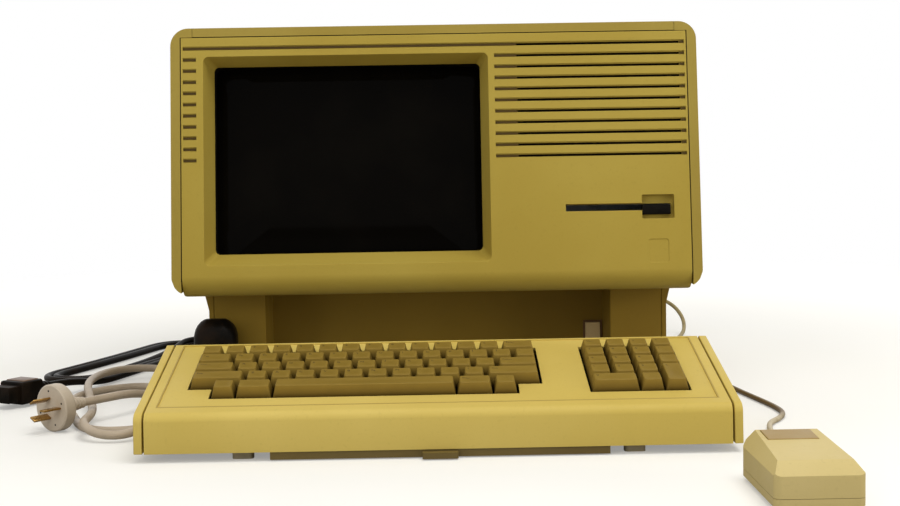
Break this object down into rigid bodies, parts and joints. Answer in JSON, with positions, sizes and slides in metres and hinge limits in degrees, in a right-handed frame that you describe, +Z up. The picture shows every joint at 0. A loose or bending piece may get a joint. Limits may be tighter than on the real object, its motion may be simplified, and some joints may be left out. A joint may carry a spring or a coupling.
{
  "type": "desktop computer",
  "caption": "Desktop computer with a built-in screen and disk drive in an overhanging head, a low keyboard with number pad, a one-button mouse and two loose mains leads.",
  "frame": {"origin": "on the desk, under the middle of the main unit's footprint", "axes": "+X to the right of someone facing the screen, +Y from the front to the rear, +Z up from the desk"},
  "size_m": [0.7145, 0.8895, 0.35],
  "materials": {
    "shell_beige": "fine textured moulded plastic, warmed with age",
    "bezel_beige": "fine textured moulded plastic, warmed with age",
    "base_beige": "fine textured moulded plastic",
    "keyboard_beige": "fine textured moulded plastic",
    "groove_brown": "moulded plastic, shaded",
    "key_tan": "satin moulded plastic",
    "mouse_beige": "fine textured moulded plastic",
    "mouse_button_tan": "satin moulded plastic",
    "screen_glass": "dark polished glass",
    "mask_black": "black plastic",
    "sheet_metal": "zinc plated sheet",
    "copper_coil": "varnished copper winding",
    "board_green": "glass fibre circuit board",
    "drive_metal": "cast aluminium",
    "foot_rubber": "dull rubber",
    "foot_white": "pale rubber",
    "button_grey": "moulded plastic",
    "tray_tan": "moulded plastic",
    "card_white": "coated card",
    "ball_rubber": "rubber over steel",
    "cord_tan": "smooth cord",
    "lead_grey": "smooth flexible lead",
    "lead_black": "smooth flexible lead",
    "screw_steel": "knurled steel"
  },
  "bodies": {
    "main_unit": {"left_side_panel": "shell_beige", "right_side_panel": "shell_beige", "head_floor": "base_beige", "chassis_frame": "sheet_metal", "picture_tube": "screen_glass", "screen_mask": "mask_black", "deflection_yoke": "copper_coil", "video_board": "board_green", "disk_drive": "drive_metal", "drive_bracket": "sheet_metal", "base_housing": "base_beige", "base_side_panels": "base_beige", "unit_feet": "foot_rubber", "power_button_frame": "mask_black", "power_supply": "sheet_metal", "main_board": "board_green", "plug_in_boards": "board_green", "rear_connectors": "sheet_metal", "mouse_cord_plug": "cord_tan", "grey_lead": "lead_grey", "grey_lead_ends": "lead_grey", "black_lead": "lead_black", "black_lead_ends": "lead_black", "mouse_cord": "cord_tan"},
    "top_cover": {"top_cover": "shell_beige"},
    "front_bezel": {"front_bezel": "bezel_beige"},
    "rear_cover": {"rear_cover": "shell_beige"},
    "thumbscrew_left": {"thumbscrew_left": "screw_steel"},
    "thumbscrew_right": {"thumbscrew_right": "screw_steel"},
    "drive_spindle": {"drive_spindle": "drive_metal"},
    "head_carriage": {"head_carriage": "drive_metal"},
    "power_button": {"power_button": "button_grey"},
    "reset_button": {"reset_button": "button_grey"},
    "keyboard": {"keyboard_top_case": "keyboard_beige", "keyboard_end_caps": "keyboard_beige", "keyboard_bottom_case": "base_beige", "keyboard_feet": "foot_white", "key_switch_plate": "sheet_metal"},
    "card_tray": {"card_tray": "tray_tan", "reference_cards": "card_white"},
    "mouse": {"mouse_top_shell": "mouse_beige", "mouse_bottom_shell": "mouse_beige"},
    "mouse_button": {"mouse_button": "mouse_button_tan"},
    "mouse_ball": {"mouse_ball": "ball_rubber"},
    "mouse_roller": {"mouse_roller": "button_grey"},
    "keys_row_1": {"keys_row_1": "key_tan"},
    "backspace_key": {"backspace_key": "key_tan"},
    "tab_key": {"tab_key": "key_tan"},
    "keys_row_2": {"keys_row_2": "key_tan"},
    "caps_lock_key": {"caps_lock_key": "key_tan"},
    "keys_row_3": {"keys_row_3": "key_tan"},
    "return_key": {"return_key": "key_tan"},
    "left_shift_key": {"left_shift_key": "key_tan"},
    "keys_row_4": {"keys_row_4": "key_tan"},
    "right_shift_key": {"right_shift_key": "key_tan"},
    "command_keys": {"command_keys": "key_tan"},
    "space_bar": {"space_bar": "key_tan"},
    "number_pad_keys": {"number_pad_keys": "key_tan"},
    "pad_enter_key": {"pad_enter_key": "key_tan"},
    "pad_zero_key": {"pad_zero_key": "key_tan"}
  },
  "joints": [
    {"name": "top_cover_lift", "type": "slide", "parent": "main_unit", "child": "top_cover", "axis": [0, 0, 1], "range_m": [0, 0.08]},
    {"name": "front_bezel_pull", "type": "slide", "parent": "main_unit", "child": "front_bezel", "axis": [0, -0.9903, 0.1392], "range_m": [0, 0.06]},
    {"name": "rear_cover_pull", "type": "slide", "parent": "main_unit", "child": "rear_cover", "axis": [0, 1, 0], "range_m": [0, 0.06]},
    {"name": "thumbscrew_left_turn", "type": "hinge", "parent": "rear_cover", "child": "thumbscrew_left", "pos_m": [-0.19, 0.193, 0.13], "axis": [0, 1, 0], "continuous": true},
    {"name": "thumbscrew_right_turn", "type": "hinge", "parent": "rear_cover", "child": "thumbscrew_right", "pos_m": [0.19, 0.193, 0.13], "axis": [0, 1, 0], "continuous": true},
    {"name": "drive_spindle_turn", "type": "hinge", "parent": "main_unit", "child": "drive_spindle", "pos_m": [0.1635, -0.12013, 0.14929], "axis": [0, 0.1392, 0.9903], "continuous": true},
    {"name": "head_carriage_travel", "type": "slide", "parent": "main_unit", "child": "head_carriage", "axis": [0, -0.9903, 0.1392], "range_m": [0, 0.02]},
    {"name": "power_button_press", "type": "slide", "parent": "main_unit", "child": "power_button", "axis": [0, 1, 0], "range_m": [0, 0.002], "stiffness_N_per_m": 400, "springref_m": -0.001},
    {"name": "reset_button_press", "type": "slide", "parent": "main_unit", "child": "reset_button", "axis": [0, -1, 0], "range_m": [0, 0.0008], "stiffness_N_per_m": 400, "springref_m": -0.001},
    {"name": "keyboard_slide", "type": "slide", "parent": "main_unit", "child": "keyboard", "axis": [0, 1, 0], "range_m": [-0.05, 0.05]},
    {"name": "card_tray_pull", "type": "slide", "parent": "keyboard", "child": "card_tray", "axis": [0, -1, 0], "range_m": [0, 0.09]},
    {"name": "mouse_slide", "type": "slide", "parent": "main_unit", "child": "mouse", "axis": [0, 1, 0], "range_m": [-0.02, 0.02], "deforming": ["mouse_cord"]},
    {"name": "mouse_button_press", "type": "slide", "parent": "mouse", "child": "mouse_button", "axis": [0, 0, -1], "range_m": [0, 0.001], "stiffness_N_per_m": 400, "springref_m": -0.001},
    {"name": "mouse_ball_roll", "type": "hinge", "parent": "mouse", "child": "mouse_ball", "pos_m": [0.23675, -0.52, 0.0113], "axis": [1, 0, 0], "range_deg": [-110, 110]},
    {"name": "mouse_roller_turn", "type": "hinge", "parent": "mouse", "child": "mouse_roller", "pos_m": [0.23675, -0.5057, 0.0113], "axis": [1, 0, 0], "range_deg": [-400, 400]},
    {"name": "keys_row_1_press", "type": "slide", "parent": "keyboard", "child": "keys_row_1", "axis": [0, 0.2226, -0.9749], "range_m": [0, 0.0035], "stiffness_N_per_m": 500, "springref_m": -0.002},
    {"name": "backspace_key_press", "type": "slide", "parent": "keyboard", "child": "backspace_key", "axis": [0, 0.2226, -0.9749], "range_m": [0, 0.0035], "stiffness_N_per_m": 200, "springref_m": -0.002},
    {"name": "tab_key_press", "type": "slide", "parent": "keyboard", "child": "tab_key", "axis": [0, 0.2226, -0.9749], "range_m": [0, 0.0035], "stiffness_N_per_m": 200, "springref_m": -0.002},
    {"name": "keys_row_2_press", "type": "slide", "parent": "keyboard", "child": "keys_row_2", "axis": [0, 0.2226, -0.9749], "range_m": [0, 0.0035], "stiffness_N_per_m": 500, "springref_m": -0.002},
    {"name": "caps_lock_key_press", "type": "slide", "parent": "keyboard", "child": "caps_lock_key", "axis": [0, 0.2226, -0.9749], "range_m": [0, 0.0035], "stiffness_N_per_m": 200, "springref_m": -0.002},
    {"name": "keys_row_3_press", "type": "slide", "parent": "keyboard", "child": "keys_row_3", "axis": [0, 0.2226, -0.9749], "range_m": [0, 0.0035], "stiffness_N_per_m": 500, "springref_m": -0.002},
    {"name": "return_key_press", "type": "slide", "parent": "keyboard", "child": "return_key", "axis": [0, 0.2226, -0.9749], "range_m": [0, 0.0035], "stiffness_N_per_m": 200, "springref_m": -0.002},
    {"name": "left_shift_key_press", "type": "slide", "parent": "keyboard", "child": "left_shift_key", "axis": [0, 0.2226, -0.9749], "range_m": [0, 0.0035], "stiffness_N_per_m": 200, "springref_m": -0.002},
    {"name": "keys_row_4_press", "type": "slide", "parent": "keyboard", "child": "keys_row_4", "axis": [0, 0.2226, -0.9749], "range_m": [0, 0.0035], "stiffness_N_per_m": 500, "springref_m": -0.002},
    {"name": "right_shift_key_press", "type": "slide", "parent": "keyboard", "child": "right_shift_key", "axis": [0, 0.2226, -0.9749], "range_m": [0, 0.0035], "stiffness_N_per_m": 200, "springref_m": -0.002},
    {"name": "command_keys_press", "type": "slide", "parent": "keyboard", "child": "command_keys", "axis": [0, 0.2226, -0.9749], "range_m": [0, 0.0035], "stiffness_N_per_m": 500, "springref_m": -0.002},
    {"name": "space_bar_press", "type": "slide", "parent": "keyboard", "child": "space_bar", "axis": [0, 0.2226, -0.9749], "range_m": [0, 0.0035], "stiffness_N_per_m": 500, "springref_m": -0.002},
    {"name": "number_pad_keys_press", "type": "slide", "parent": "keyboard", "child": "number_pad_keys", "axis": [0, 0.2226, -0.9749], "range_m": [0, 0.0035], "stiffness_N_per_m": 500, "springref_m": -0.002},
    {"name": "pad_enter_key_press", "type": "slide", "parent": "keyboard", "child": "pad_enter_key", "axis": [0, 0.2226, -0.9749], "range_m": [0, 0.0035], "stiffness_N_per_m": 200, "springref_m": -0.002},
    {"name": "pad_zero_key_press", "type": "slide", "parent": "keyboard", "child": "pad_zero_key", "axis": [0, 0.2226, -0.9749], "range_m": [0, 0.0035], "stiffness_N_per_m": 200, "springref_m": -0.002}
  ],
  "couplings": [
    {"joint": "mouse_ball_roll", "follows": "mouse_slide", "rad_per_m": -90.909},
    {"joint": "mouse_roller_turn", "follows": "mouse_slide", "rad_per_m": 333.33}
  ]
}
